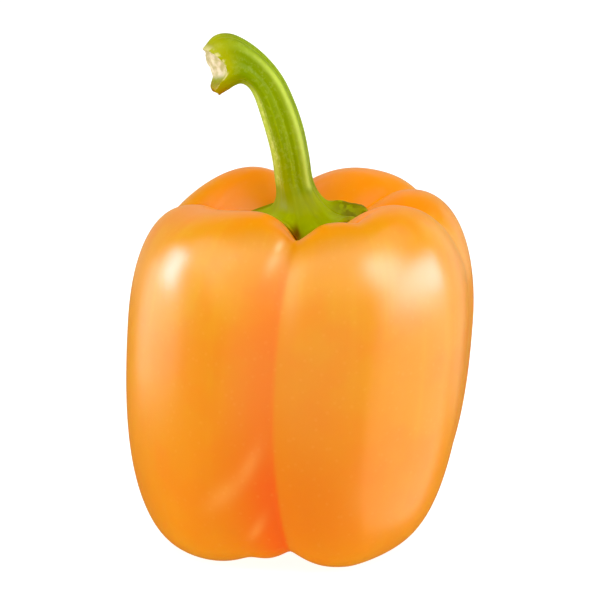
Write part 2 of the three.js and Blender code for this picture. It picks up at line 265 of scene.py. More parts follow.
# Sides where the calyx's edge is darker: azimuth, width, strength
DARK_EDGE_SIDES = [
    (-100, 35, 0.2),
    (85, 35, 1.0),
]
DRY_TIP_AZIMUTH, DRY_TIP_WIDTH = -9, 5.5
DRY_TIP_FADE = (0.18, 0.44)
# Spots at the calyx's edge: name, azimuth, width, reach, strength
CALYX_SPOTS = [
    ("crinkled", 84, 30, 0.33, 1.5),
    # Partly the calyx's own brown, partly painted shade along its left tip against the fruit
    ("tip_brown_and_shade", -112, 15, 0.33, 0.65),
]
STALK_FOOT_SPAN = (0, 0.12)
# Painted sheen, in pale bands along the stalk: azimuth, width, strength, and how much of them is lost further
# up
SHEEN_BANDS = [
    (43, 11, 0.9),
    (-76, 20, 0.9),
    (130, 14, 0.7),
    (-150, 16, 0.6),
]
SHEEN_BANDS_LOST = 0.7
SHEEN_BANDS_FADE = (0.55, 0.85)
SPECKLE_AZIMUTH, SPECKLE_WIDTH = -68, 26
SPECKLE_ALL_ROUND = 0.1
SPECKLE_FADE = (0.42, 0.62)
# Painted shade: the stalk darker green towards its top
UPPER_SHADE_STRENGTH = 0.6
UPPER_SHADE_SPAN = (0.5, 0.85)
DRY_END_STRENGTH = 0.7
DRY_END_SPAN = (0.72, 1)
DRY_LEAF_STRENGTH = 0.35
DRY_LEAF_FADE = (-0.1, 0.1)
DRY_ROOT_STRENGTH = 0.5
DRY_ROOT_AZIMUTH, DRY_ROOT_WIDTH = -50, 50
DRY_ROOT_LEVEL, DRY_ROOT_SPREAD = 0.08, 0.2
# The lip and the cut: the pith fades towards the inner side, and the torn skin keeps clear of the lip
LIP_AZIMUTH, LIP_WIDTH = -90, 40
LIP_SPAN = (0.86, 0.98)
LIP_CLEARANCE = 2
PITH_FADE = (0.1, 0.35)
TORN_SPAN = (0.955, 1)
CUT_EDGE_SPREAD = 0.14
BRUISE_AZIMUTH, BRUISE_WIDTH = 178, 75
BRUISE_PLACE, BRUISE_SPREAD = 2.1, 0.32

# Colours, as 8-bit sRGB. Each ground is tinted in the order of its list: where an attribute of the mesh says,
# through a pattern that shows none of it at its first value and all at its second, and at a strength.
SKIN_GROUND = (224, 142, 8)
SKIN_TINTS = [
    {"through": ("clouds", 0.2, 0.8), "colour": (224, 152, 16)},
    {"through": ("streaks", 0.45, 0.75), "strength": 0.4, "colour": (226, 160, 20)},
    {"through": ("blotches", 0.46, 0.7), "strength": 0.46, "colour": (228, 128, 4)},
    # Painted shade: deeper orange low on the fruit, most at its front
    {"where": "low_shade", "colour": (230, 122, 4)},
    # Painted shade: darker orange in the grooves, by their depth
    {"where": "groove_shade", "strength": 0.3, "colour": (232, 120, 8)},
    # Painted shade, red-orange, left of the front groove
    {"where": "groove_side_shade", "strength": 0.85, "colour": (240, 90, 10)},
    # Painted highlight along the raised folds beside the front groove
    {"where": "fold_highlight", "strength": 0.4, "colour": (246, 160, 70)},
    {"where": "hollow", "strength": 0.8, "colour": (252, 142, 2)},
    {"through": ("specks", 0.28, 0.05), "strength": 0.08, "colour": (250, 180, 84)},
    # Painted highlight by the top of the front groove
    {"where": "groove_highlight", "colour": (252, 214, 150)},
    {"where": "scar", "colour": (140, 96, 50)},
]
GREEN_GROUND = (118, 141, 0)
GREEN_TINTS = [
    {"through": ("clouds", 0.25, 0.75), "colour": (132, 153, 2)},
    {"through": ("fibres", 0.45, 0.72), "strength": 0.5, "colour": (164, 184, 10)},
    # Painted sheen in pale bands along the stalk
    {"where": "sheen_band", "colour": (188, 206, 74)},
    # Painted shade: darker green on the stalk's upper part
    {"where": "upper", "colour": (120, 142, 4)},
    {"where": "speckle", "through": ("mottle", 0.5, 0.62), "colour": (206, 216, 110)},
    {"where": "edge", "strength": 0.7, "colour": (98, 88, 8)},
    {"where": "crinkled", "through": ("rings", 0.41, 0.52), "colour": (54, 54, 10)},
    # Partly the calyx's own brown, partly painted shade at its left tip
    {"where": "tip_brown_and_shade", "colour": (92, 80, 4)},
    {"where": "dry", "colour": (176, 170, 10)},
    {"where": "dry_tip", "colour": (108, 62, 6)},
    {"where": "lip", "colour": (158, 100, 6)},
    {"where": "torn", "through": ("rings", 0.42, 0.54), "colour": (216, 206, 136)},
]
PITH_GROUND = (232, 216, 184)
PITH_TINTS = [
    {"through": ("rings", 0.35, 0.7), "colour": (190, 176, 118)},
]
# Over the green and the pith, where the cut is
CUT_TINTS = [
    {"where": "cut_edge", "through": ("mottle", 0.44, 0.56), "colour": (178, 170, 60)},
    {"where": "bruise", "through": ("rings", 0.42, 0.56), "colour": (92, 66, 32)},
]
# How the streaks and the fibres are stretched: round the pepper twice, and along it
STREAK_SCALE = (11, 11, 1.1)
FIBRE_SCALE = (5, 5, 0.5)
# How strong the pores are against the dimples, and the creases of the calyx against its grain
PORE_STRENGTH = 0.12
CREASE_STRENGTH = 8

# The camera: sensor and lens in millimetres, nearest and furthest view and distance in metres. It and the
# lights are aimed at one point, at the target's height in metres.
CAMERA_SENSOR = 36
CAMERA_LENS = 216
CAMERA_CLIP = (0.01, 20)
CAMERA_ELEVATION = 15
CAMERA_DISTANCE = 0.9
TARGET_HEIGHT = 0.062
# The floor, in metres, its grey and its glow
FLOOR_WIDTH = 8.0
FLOOR_GREY = 0.35
FLOOR_GLOW = 0.9
# Light that comes from all round, and what a glossy skin mirrors of it, against a white of one
WORLD_LIGHT = 0.3
WORLD_MIRRORED = 0.08
# The light that the picture shows as black
BLACK_LEVEL = 0.008
# Tints: a plain light, the cool one of the lamps that make the highlights, and a warm one from low down
PLAIN_TINT = (1.0, 1.0, 1.0)
LAMP_TINT = (0.82, 0.87, 1.15)
WARM_TINT = (1.0, 0.98, 0.8)

# Places of the colour sockets on a Mix node, which has sockets of the same name for every kind of value
MIX_FACTOR, MIX_FIRST_COLOUR, MIX_SECOND_COLOUR, MIX_COLOUR = 0, 6, 7, 2

# Grid sizes, how much closer the fruit's rows are round its feet, and steps along its profile
FRUIT_COLUMNS = 384
FRUIT_ROWS = 240
FOOT_DENSITY = 1.5
FOOT_DENSITY_SPAN = 0.15
PROFILE_SAMPLES = 8000
NORMAL_STEP = 0.001
GREEN_COLUMNS = 192
UNDERSIDE_ROWS = 16
EDGE_ROWS = 7
FLARE_ROWS = 44
STALK_ROWS = 130
CUT_ROWS = 22


def smooth(share):
    """Eases from 0 to 1: three times the share squared, less twice its cube."""
    return share * share * (3 - 2 * share)


def eased(value, start, end):
    """Eases from 0 to 1 as a value goes from a start to an end: the smooth of its share of the way."""
    return smooth(np.clip((value - start) / (end - start), 0, 1))


def wrapped(degrees):
    """The same angle between -180 and 180 degrees."""
    return (degrees + 180) % 360 - 180


def hump(distance):
    """A bell curve: one at no distance, and e to the power of minus the distance squared away from it."""
    return np.exp(-distance * distance)


def near_azimuth(azimuth, at, width):
    """A bell curve round the pepper: one at an azimuth, and less with the distance from it over the width."""
    return hump(wrapped(azimuth - at) / width)


def profile_at(station):
    """Radius and height of the plain profile.

    A half cosine wave makes the dimple, a quarter of a superellipse the flank and another the shoulder,
    and a half cosine wave that ends before the axis makes the hollow.
    """
    station = np.asarray(station, float)
    flank = np.clip(station - FOOT, 0, 1) * HALF_PI
    shoulder = np.clip(station - WIDEST, 0, 1) * HALF_PI
    inward = np.clip(station - CREST, 0, 1)
    drop = np.minimum(inward / (1 - HOLLOW_FLOOR_SHARE), 1)
    spans = [station <= FOOT, station <= WIDEST, station <= CREST]
    radius = np.select(
        spans,
        [
            FOOT_RADIUS * station,
            FOOT_RADIUS + (WIDEST_RADIUS - FOOT_RADIUS) * np.sin(flank) ** (2 / FLANK_ROUNDNESS),
            CREST_RADIUS + (WIDEST_RADIUS - CREST_RADIUS) * np.cos(shoulder) ** (2 / SHOULDER_ROUNDNESS),
        ],
        CREST_RADIUS * (1 - inward),
    )
    height = np.select(
        spans,
        [
            DIMPLE_HEIGHT * (1 + np.cos(math.pi * station)) / 2,
            WIDEST_HEIGHT * (1 - np.cos(flank) ** (2 / FLANK_ROUNDNESS)),
            WIDEST_HEIGHT + (CREST_HEIGHT - WIDEST_HEIGHT) * np.sin(shoulder) ** (2 / SHOULDER_ROUNDNESS),
        ],
        CREST_HEIGHT - HOLLOW_DEPTH * (1 - np.cos(math.pi * drop)) / 2,
    )
    return radius, height


def profile_normal_at(station):
    """Radial and upward part of the profile's outward normal: its direction, turned a quarter outwards."""
    radius_before, height_before = profile_at(np.maximum(station - NORMAL_STEP, 0))
    radius_after, height_after = profile_at(np.minimum(station + NORMAL_STEP, PIT))
    radial = height_after - height_before
    upward = radius_before - radius_after
    length = np.hypot(radial, upward)
    return radial / length, upward / length


def profile_stations(rows):
    """Stations along the profile, closer together round the feet.

    They part its length evenly, and a bell curve at the feet makes that length count for more.
    """
    station = np.linspace(0, PIT, PROFILE_SAMPLES)
    radius, height = profile_at(station)
    step = np.hypot(np.diff(radius), np.diff(height))
    footness = hump((station[1:] - FOOT) / FOOT_DENSITY_SPAN)
    length = np.concatenate([[0], np.cumsum(step * (1 + FOOT_DENSITY * footness))])
    return np.interp(np.linspace(0, length[-1], rows + 1), length, station)


def eased_along(station, values):
    """A value given at the foot, the widest level and the crest, eased between them."""
    foot, widest, crest = values
    flank = eased(station, FOOT, WIDEST)
    shoulder = eased(station, WIDEST, CREST)
    return foot + (widest - foot) * flank + (crest - widest) * shoulder


def depth_along(station, values, deepening):
    """A groove's depth: least at the widest level, growing by a power of the way to either end."""
    foot, widest, crest = values
    down = np.clip(WIDEST - station, 0, 1) ** deepening
    up = np.clip(station - WIDEST, 0, 1) ** deepening
    return widest + (foot - widest) * down + (crest - widest) * up


def groove_depth_at(azimuth, station):
    """Depth of all grooves together: each is e to the power of minus the rounded distance across it."""
    depth = 0
    for groove in GROOVES:
        distance = wrapped(azimuth - eased_along(station, groove["azimuth"]))
        across = distance / eased_along(station, groove["width"])
        rounding = groove.get("rounding", GROOVE_ROUNDING)
        rounded = np.hypot(across, rounding) - rounding
        deepening = groove.get("deepening", GROOVE_DEEPENING)
        depth = depth + depth_along(station, groove["depth"], deepening) * np.exp(-rounded)
    from_dimple = np.clip(station, 0, 1) ** GROOVE_FADE
    from_pit = np.clip((PIT - station) / PIT_FADE_SPAN, 0, 1) ** GROOVE_FADE
    return depth * from_dimple * from_pit


def lobe_value(azimuth, key):
    """One value of the lobes at an azimuth, weighted by how near the middle of each lobe is."""
    weights = [np.exp(LOBE_BLENDING * (np.cos(np.radians(azimuth - lobe["azimuth"])) - 1)) for lobe in LOBES]
    return sum(weight * lobe[key] for weight, lobe in zip(weights, LOBES)) / sum(weights)


def fold_share(azimuth, station, at, level, length, width, turn):
    """A bell-shaped ridge on the skin, whose length is turned up from level by an angle in degrees."""
    sideways = wrapped(azimuth - at) * MM_PER_DEGREE
    upwards = (station - level) * MM_PER_STATION
    cosine, sine = math.cos(math.radians(turn)), math.sin(math.radians(turn))
    along = sideways * cosine + upwards * sine
    across = upwards * cosine - sideways * sine
    return hump(along / length) * hump(across / width)


def skin_relief_at(azimuth, station):
    """Relief of the skin: sine waves round and along it, less bell-shaped dents, with folds and a scar."""
    relief = 0
    for round_waves, along_waves, phase, height in SKIN_WAVES:
        angle = round_waves * azimuth + along_waves * station * WAVE_DEGREES_PER_STATION + phase
        relief = relief + height * np.sin(np.radians(angle))
    for at, level, width, length, depth in SKIN_DENTS:
        relief = relief - depth * near_azimuth(azimuth, at, width) * hump((station - level) / length)
    for at, level, length, width, height, turn in SKIN_FOLDS:
        relief = relief + height * fold_share(azimuth, station, at, level, length, width, turn)
    off_dimple = np.clip(station / RELIEF_FADE_AT_DIMPLE, 0, 1)
    off_calyx = np.clip((CALYX_STATION - station) / RELIEF_FADE_AT_CALYX, 0, 1)
    return relief * off_dimple * off_calyx + SCAR_HEIGHT * hump(station / SCAR_SPAN)


def fruit_point(azimuth, station, relief=0):
    """A point of the skin: the profile, moved by lobe, groove and relief, carried round the leaning axis."""
    radius, height = profile_at(station)
    radial, upward = profile_normal_at(station)
    crest_share = eased(station, WIDEST, CREST) * (1 - eased(station, CREST, PIT))
    foot_share = eased(station, 0, FOOT) * (1 - eased(station, FOOT, WIDEST))
    flank_share = np.sin(np.clip((station - FOOT) / (CREST - FOOT), 0, 1) * math.pi)
    out = lobe_value(azimuth, "swell") * flank_share - groove_depth_at(azimuth, station) + relief
    reach = lobe_value(azimuth, "crest_reach") * crest_share + lobe_value(azimuth, "foot_reach") * foot_share
    rise = lobe_value(azimuth, "lift") * crest_share - lobe_value(azimuth, "foot_drop") * foot_share
    radius = radius + out * radial + reach
    height = height + out * upward + rise
    angle = np.radians(azimuth)
    x = radius * np.sin(angle) + LEAN * (height - LEAN_HEIGHT)
    y = -radius * np.cos(angle)
    z = np.maximum(height - FOOT_FLATTENING, 0)
    return np.stack(np.broadcast_arrays(x, y, z), axis=-1)


def calyx_reach_at(azimuth):
    """How far the calyx reaches from the axis: a circle with a bell-shaped point in each groove."""
    reach = CALYX_RADIUS
    for at, length, width in CALYX_POINTS:
        reach = reach + length * near_azimuth(azimuth, at, width)
    return reach


def calyx_thickness_at(azimuth):
    """How thick the calyx is: the same all round, with a bell-shaped swell at some azimuths."""
    swells = [extra * near_azimuth(azimuth, at, width) for at, width, extra in CALYX_SWELLS]
    return CALYX_THICKNESS + sum(swells)


def over_fruit(azimuth, share, height):
    """A point a height above the fruit's skin, at a share of the calyx's reach from the axis."""
    station = PIT - share * calyx_reach_at(azimuth) / CREST_RADIUS
    radial, upward = profile_normal_at(station)
    angle = np.radians(azimuth)
    normal = np.stack([radial * np.sin(angle), -radial * np.cos(angle), upward], axis=-1)
    return fruit_point(azimuth, station) + normal * np.asarray(height)[..., None]


def curve_through(values, share):
    """A smooth curve through a list of values: uniform Catmull-Rom, with its ends mirrored."""
    knots = np.asarray(values, float).reshape(len(values), -1)
    knots = np.vstack([2 * knots[0] - knots[1], knots, 2 * knots[-1] - knots[-2]])
    place = np.clip(share, 0, 1) * (len(values) - 1)
    span = np.minimum(place.astype(int), len(values) - 2)
    way = (place - span)[..., None]
    before, start, end, after = (knots[span + k] for k in range(4))
    return 0.5 * (
        2 * start
        + (end - before) * way
        + (2 * before - 5 * start + 4 * end - after) * way**2
        + (3 * start - before - 3 * end + after) * way**3
    )


def ridge_wave_at(azimuth):
    """One on a ridge of the stalk and minus one between two: the cosine of the angle times their number."""
    return np.cos(STALK_RIDGES * np.radians(azimuth - STALK_RIDGE_AZIMUTH))


def drawn_back(along, start, distance):
    """How far the cut has drawn the stalk back by now: the distance, eased in from the start to the end."""
    return distance * eased(along, start, 1)


def stalk_point(azimuth, along, section_share=1.0, offset=0.0):
    """A point of the stalk: an ellipse between its two edges, with ridges and fibres round it.

    The section share shrinks the ring towards its middle, and the offset moves it on along the stalk. Near
    its end the stalk is drawn back in proportion to the way to its front, and to the square of that way,
    and a bell-shaped lip is left on its inner side.
    """
    azimuth, along = np.broadcast_arrays(np.asarray(azimuth, float), np.asarray(along, float))
    outer, inner, half_depth = (curve_through(values, along) for values in zip(*STALK))
    middle = (outer + inner) / 2
    half_width = np.linalg.norm(outer - inner, axis=-1) / 2
    across_x, across_z = np.moveaxis((outer - inner) / 2 / half_width[..., None], -1, 0)
    angle = np.radians(azimuth)
    risen = np.clip(along / RIDGE_RISE_SHARE, 0, 1)
    left = np.clip((1 - along) / RIDGE_FALL_SHARE, RIDGE_LEFT_AT_CUT, 1)
    fibre = FIBRE_HEIGHT * np.sin(FIBRES * angle + FIBRE_TWIST * along)
    ridge = (STALK_RIDGE_HEIGHT * ridge_wave_at(azimuth) + fibre) * risen * left
    to_side = section_share * np.sin(angle)
    to_front = section_share * np.cos(angle)
    tilt = drawn_back(along, CUT_TILT_START, CUT_TILT) * to_front
    notch = drawn_back(along, CUT_NOTCH_START, CUT_NOTCH) * to_front**2
    sideways = (half_width + ridge) * to_side
    on_lip = hump((to_side - CUT_LIP_PLACE) / CUT_LIP_WIDTH) * (1 + to_front) / 2
    lip = drawn_back(along, CUT_NOTCH_START, CUT_LIP) * on_lip
    onward = offset - tilt - notch + lip
    x = middle[..., 0] + sideways * across_x - onward * across_z
    y = -(half_depth[..., 0] + ridge) * to_front
    z = middle[..., 1] + sideways * across_z + onward * across_x
    return np.stack(np.broadcast_arrays(x, y, z), axis=-1)


def crinkle_at(azimuth, climb):
    """Crinkles of the calyx's right end: sine waves round it and up it, crossed, under a bell curve."""
    angle = np.radians(azimuth)
    round_it = np.sin(CRINKLE_WAVES_ROUND * angle + CRINKLE_SLANT_ROUND * climb)
    up_it = np.sin(2 * math.pi * CRINKLE_WAVES_UP * climb + CRINKLE_SLANT_UP * angle)
    waves = CRINKLE_SHARE_ROUND * round_it + (1 - CRINKLE_SHARE_ROUND) * up_it
    share = near_azimuth(azimuth, CRINKLE_AZIMUTH, CRINKLE_WIDTH) * hump(climb / CRINKLE_SPREAD)
    return CRINKLE_HEIGHT * share * waves


def flare_point(azimuth, climb):
    """A point of the calyx's upper side, eased into the foot of the stalk as it climbs.

    Its height over the skin is the calyx's thickness, a rise with the climb, crinkles and bell-shaped ribs.
    """
    share = FLARE_OUTER_SHARE + (FLARE_INNER_SHARE - FLARE_OUTER_SHARE) * climb
    height = CALYX_GAP + calyx_thickness_at(azimuth) + FLARE_HEIGHT * climb + crinkle_at(azimuth, climb)
    for at, width, place, spread, rib in CALYX_RIBS:
        height = height + rib * near_azimuth(azimuth, at, width) * hump((climb - place) / spread)
    on_calyx = over_fruit(azimuth, share, height)
    along = FLARE_STALK_START + (FLARE_STALK_END - FLARE_STALK_START) * climb
    blend = smooth(climb)[..., None]
    return on_calyx * (1 - blend) + stalk_point(azimuth, along) * blend


def cut_relief_at(azimuth, inward):
    """Relief of the cut: two sine waves of its pith that cross, less half a sine wave just inside its rim."""
    angle = np.radians(azimuth)
    across = np.sin(PITH_WAVES_ACROSS * (1 - inward) * np.sin(angle) + PITH_PHASE_ACROSS)
    along = np.sin(PITH_WAVES_ALONG * (1 - inward) * np.cos(angle))
    past_rim = np.clip(inward / CUT_RIM_SHARE, 0, 1)
    return PITH_RELIEF * across * along * smooth(past_rim) - CUT_RIM_DEPTH * np.sin(math.pi * past_rim)


def closed_mesh(name, rings, start_pole, end_pole, attributes):
    """A closed mesh from rings of points between two poles, with values of each point as attributes.

    Point by point each ring is joined to the next by quads, and the first and the last to a pole by fans.
    """
    rows, columns = rings.shape[:2]
    points = np.vstack([start_pole, rings.reshape(-1, 3), end_pole]) + AXIS_PLACE
    ring, column = np.meshgrid(np.arange(rows), np.arange(columns), indexing="ij")
    after = (column + 1) % columns
    here = 1 + ring * columns
    corners = [here + column, here + after, here + columns + after, here + columns + column]
    quads = np.stack([corner[:-1] for corner in corners], axis=-1).reshape(-1, 4)
    turn = np.arange(columns)
    turn_after = (turn + 1) % columns
    last = 1 + (rows - 1) * columns
    start_fan = np.stack([np.zeros_like(turn), 1 + turn_after, 1 + turn], axis=-1)
    end_fan = np.stack([np.full_like(turn, len(points) - 1), last + turn, last + turn_after], axis=-1)
    mesh = bpy.data.meshes.new(name)
    mesh.from_pydata((points * MM).tolist(), [], start_fan.tolist() + quads.tolist() + end_fan.tolist())
    mesh.polygons.foreach_set("use_smooth", np.ones(len(mesh.polygons), bool))
    for key, (start_value, values, end_value) in attributes.items():
        size = np.size(start_value)
        kind = "FLOAT_VECTOR" if size == 3 else "FLOAT"
        spread = np.broadcast_to(values, (rows, columns) + np.shape(start_value))
        every = np.concatenate([np.ravel(start_value), np.ravel(spread), np.ravel(end_value)])
        layer = mesh.attributes.new(key, kind, "POINT")
        layer.data.foreach_set("vector" if size == 3 else "value", every.astype(np.float32))
    mesh.update()
    piece = bpy.data.objects.new(name, mesh)
    bpy.context.scene.collection.objects.link(piece)
    return piece


def plan_middle(points):
    """The middle of the points' width and depth: half way from the least to the most."""
    plan = points[..., :2].reshape(-1, 2)
    return (plan.min(axis=0) + plan.max(axis=0)) / 2


def azimuths(columns):
    """Evenly spaced azimuths all the way round."""
    return (-180 + 360 * np.arange(columns) / columns)[None, :]


# The pepper's axis stands where the fruit's width and depth come to the middle of the solid's
low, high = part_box("fruit")
fruit_columns = azimuths(FRUIT_COLUMNS)
fruit_rows = profile_stations(FRUIT_ROWS)[1:-1, None]
fruit_relief = skin_relief_at(fruit_columns, fruit_rows)
fruit_rings = fruit_point(fruit_columns, fruit_rows, fruit_relief)
cad_middle = np.array([low[0] + high[0], low[1] + high[1]]) / 2 / MM
AXIS_PLACE = np.append(cad_middle - plan_middle(fruit_rings), 0)


def colour(red, green, blue):
    """A colour given as 8-bit sRGB, made linear: the value over 255, raised to the power of 2.2."""
    return tuple((value / 255) ** 2.2 for value in (red, green, blue)) + (1.0,)


def new_material(name):
    """An empty material with its shader and output, and the tree that holds them."""
    material = bpy.data.materials.new(name)
    material.use_nodes = True
    tree = material.node_tree
    shader = tree.nodes["Principled BSDF"]
    return material, tree, shader


def plug(tree, socket, value):
    """Links a socket to another node's output, or sets it to a constant."""
    if isinstance(value, bpy.types.NodeSocket):
        tree.links.new(value, socket)
    else:
        socket.default_value = value


def object_place(tree):
    """Object coordinates, in metres."""
    return tree.nodes.new("ShaderNodeTexCoord").outputs["Object"]


def attribute(tree, name, output="Fac"):
    """A value that the mesh carries."""
    node = tree.nodes.new("ShaderNodeAttribute")
    node.attribute_name = name
    return node.outputs[output]


def stretched(tree, vector, scale):
    """A vector with each of its parts scaled."""
    node = tree.nodes.new("ShaderNodeMapping")
    plug(tree, node.inputs["Vector"], vector)
    node.inputs["Scale"].default_value = scale
    return node.outputs["Vector"]


def noise(tree, vector, scale, detail, roughness=0.5):
    """Cloudy noise between 0 and 1."""
    node = tree.nodes.new("ShaderNodeTexNoise")
    plug(tree, node.inputs["Vector"], vector)
    node.inputs["Scale"].default_value = scale
    node.inputs["Detail"].default_value = detail
    node.inputs["Roughness"].default_value = roughness
    return node.outputs["Fac"]


def specks(tree, vector, scale):
    """Distance to the nearest of many scattered points, in cells."""
    node = tree.nodes.new("ShaderNodeTexVoronoi")
    plug(tree, node.inputs["Vector"], vector)
    node.inputs["Scale"].default_value = scale
    return node.outputs["Distance"]


def ranged(tree, value, low_in, high_in, low_out=0.0, high_out=1.0):
    """Carries a value from one range to another, held at its ends."""
    node = tree.nodes.new("ShaderNodeMapRange")
    node.interpolation_type = "SMOOTHSTEP"
    plug(tree, node.inputs["Value"], value)
    node.inputs["From Min"].default_value = low_in
    node.inputs["From Max"].default_value = high_in
    node.inputs["To Min"].default_value = low_out
    node.inputs["To Max"].default_value = high_out
    return node.outputs["Result"]


def sums(tree, operation, first, second):
    """Two values put together, as a Math node's operation says."""
    node = tree.nodes.new("ShaderNodeMath")
    node.operation = operation
    plug(tree, node.inputs[0], first)
    plug(tree, node.inputs[1], second)
    return node.outputs["Value"]


def times(tree, first, second):
    """Two values multiplied."""
    return sums(tree, "MULTIPLY", first, second)


def mixed(tree, factor, first, second):
    """The first colour turned into the second as the factor goes from 0 to 1."""
    node = tree.nodes.new("ShaderNodeMix")
    node.data_type = "RGBA"
    plug(tree, node.inputs[MIX_FACTOR], factor)
    plug(tree, node.inputs[MIX_FIRST_COLOUR], first)
    plug(tree, node.inputs[MIX_SECOND_COLOUR], second)
    return node.outputs[MIX_COLOUR]


def bumped(tree, height, distance, strength):
    """A normal tilted by a height map, whose full height is the distance in metres."""
    node = tree.nodes.new("ShaderNodeBump")
    plug(tree, node.inputs["Height"], height)
    node.inputs["Distance"].default_value = distance
    node.inputs["Strength"].default_value = strength
    return node.outputs["Normal"]


def tinted(tree, tone, tints, patterns):
    """A colour with tints mixed in, one after the other.

    A tint's share is the product of what it has of these: an attribute, a pattern that shows none of it at
    one value and all of it at another, and a strength.
    """
    for tint in tints:
        factors = [attribute(tree, tint["where"])] if "where" in tint else []
        if "through" in tint:
            pattern, low_in, high_in = tint["through"]
            factors.append(ranged(tree, patterns[pattern], low_in, high_in))
        if "strength" in tint:
            factors.append(tint["strength"])
        share = factors[0]
        for factor in factors[1:]:
            share = times(tree, share, factor)
        tone = mixed(tree, share, tone, colour(*tint["colour"]))
    return tone


def skin_material():
    """Waxy orange skin: cloudy between two oranges, streaked from crest to foot, with shade painted in its
    grooves.
    """
    material, tree, shader = new_material("pepper_skin")
    place = object_place(tree)
    way = attribute(tree, "skin_way", "Vector")
    patterns = {
        "clouds": noise(tree, place, scale=26, detail=2),
        "streaks": noise(tree, stretched(tree, way, STREAK_SCALE), scale=1, detail=4),
        "blotches": noise(tree, place, scale=62, detail=3),
        "specks": specks(tree, place, scale=420),
    }
    tone = tinted(tree, colour(*SKIN_GROUND), SKIN_TINTS, patterns)
    plug(tree, shader.inputs["Base Color"], tone)
    shader.inputs["Roughness"].default_value = 0.3
    pores = noise(tree, place, scale=900, detail=2)
    dimples = noise(tree, place, scale=110, detail=1)
    relief = sums(tree, "ADD", times(tree, pores, PORE_STRENGTH), dimples)
    plug(tree, shader.inputs["Normal"], bumped(tree, relief, distance=0.00012, strength=0.8))
    shader.inputs["Subsurface Weight"].default_value = 0.2
    shader.inputs["Subsurface Radius"].default_value = (1.0, 0.35, 0.08)
    shader.inputs["Subsurface Scale"].default_value = 0.005
    shader.inputs["IOR"].default_value = 1.4
    return material


def green_material():
    """Stalk and calyx: green with painted sheen in pale bands along it, dark at the calyx's edge, and cream
    on the cut.
    """
    material, tree, shader = new_material("stalk_green")
    place = object_place(tree)
    way = attribute(tree, "stalk_way", "Vector")
    clouds = noise(tree, place, scale=90, detail=3)
    fibres = noise(tree, stretched(tree, way, FIBRE_SCALE), scale=1, detail=4, roughness=0.6)
    mottle = noise(tree, place, scale=800, detail=3, roughness=0.7)
    rings = noise(tree, place, scale=500, detail=3)
    patterns = {"clouds": clouds, "fibres": fibres, "mottle": mottle, "rings": rings}
    pith = tinted(tree, colour(*PITH_GROUND), PITH_TINTS, patterns)
    tone = tinted(tree, colour(*GREEN_GROUND), GREEN_TINTS, patterns)
    tone = mixed(tree, attribute(tree, "cut"), tone, pith)
    tone = tinted(tree, tone, CUT_TINTS, patterns)
    plug(tree, shader.inputs["Base Color"], tone)
    plug(tree, shader.inputs["Roughness"], ranged(tree, fibres, 0.3, 0.7, low_out=0.42, high_out=0.56))
    creases = times(tree, times(tree, attribute(tree, "crinkled"), rings), CREASE_STRENGTH)
    grain = sums(tree, "ADD", sums(tree, "ADD", mottle, fibres), creases)
    plug(tree, shader.inputs["Normal"], bumped(tree, grain, distance=0.00012, strength=0.4))
    shader.inputs["Subsurface Weight"].default_value = 0.15
    shader.inputs["Subsurface Radius"].default_value = (0.6, 1.0, 0.2)
    shader.inputs["Subsurface Scale"].default_value = 0.002
    shader.inputs["IOR"].default_value = 1.4
    shader.inputs["Specular IOR Level"].default_value = 0.08
    return material


def skin_values():
    """What the skin's colour follows: bell curves round the fruit and along its profile."""
    shade_side = wrapped(fruit_columns - eased_along(fruit_rows, GROOVES[0]["azimuth"]))
    shade_width = np.where(shade_side < 0, SIDE_SHADE_WIDTH, SIDE_SHADE_EDGE)
    shade_round = near_azimuth(fruit_columns, LOW_SHADE_AZIMUTH, LOW_SHADE_WIDTH)
    shade_along = hump((fruit_rows - LOW_SHADE_STATION) / LOW_SHADE_SPREAD)
    # Painted highlights along the raised folds
    fold_highlight = 0
    for at, level, length, width, _, turn in SKIN_FOLDS:
        fold_highlight = fold_highlight + fold_share(fruit_columns, fruit_rows, at, level, length, width, turn)
    # Painted highlights by the top of the front groove
    groove_highlight = 0
    for at, level, length, width, strength, turn in GROOVE_HIGHLIGHTS:
        mark = fold_share(fruit_columns, fruit_rows, at, level, length, width, turn)
        groove_highlight = np.maximum(groove_highlight, strength * mark)
    return {
        # Painted shade in the grooves, darkest at the groove depth given above
        "groove_shade": np.clip(groove_depth_at(fruit_columns, fruit_rows) / DARKEST_GROOVE_SHADE, 0, 1),
        # Painted shade low on the fruit, strongest at the front
        "low_shade": shade_along * (LOW_SHADE_ALL_ROUND + (1 - LOW_SHADE_ALL_ROUND) * shade_round),
        # Painted shade left of the front groove
        "groove_side_shade": np.interp(fruit_rows, SIDE_SHADE_STATIONS, SIDE_SHADE_STRENGTHS) * hump(shade_side / shade_width),
        "fold_highlight": fold_highlight,
        "groove_highlight": groove_highlight,
        "hollow": eased(fruit_rows, *HOLLOW_SPAN),
        "scar": hump(fruit_rows / SCAR_SPAN),
    }


def make_fruit():
    """The fruit's skin, closed at its bottom and in the hollow, with what its colour follows."""
    attributes = {key: (0, values, 0) for key, values in skin_values().items()}
    attributes["hollow"] = (0, attributes["hollow"][1], 1)
    attributes["scar"] = (1, attributes["scar"][1], 0)
    angle = np.radians(fruit_columns)
    way = np.stack(np.broadcast_arrays(np.sin(angle), np.cos(angle), fruit_rows), axis=-1)
    attributes["skin_way"] = ((0, 0, 0), way, (0, 0, PIT))
    bottom = fruit_point(np.zeros(1), np.zeros(1), skin_relief_at(np.zeros(1), np.zeros(1)))
    top = fruit_point(np.zeros(1), np.full(1, PIT))
    fruit = closed_mesh("pepper_skin", fruit_rings, bottom, top, attributes)
    fruit.data.materials.append(skin_material())
    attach(fruit, "root")
    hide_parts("fruit")


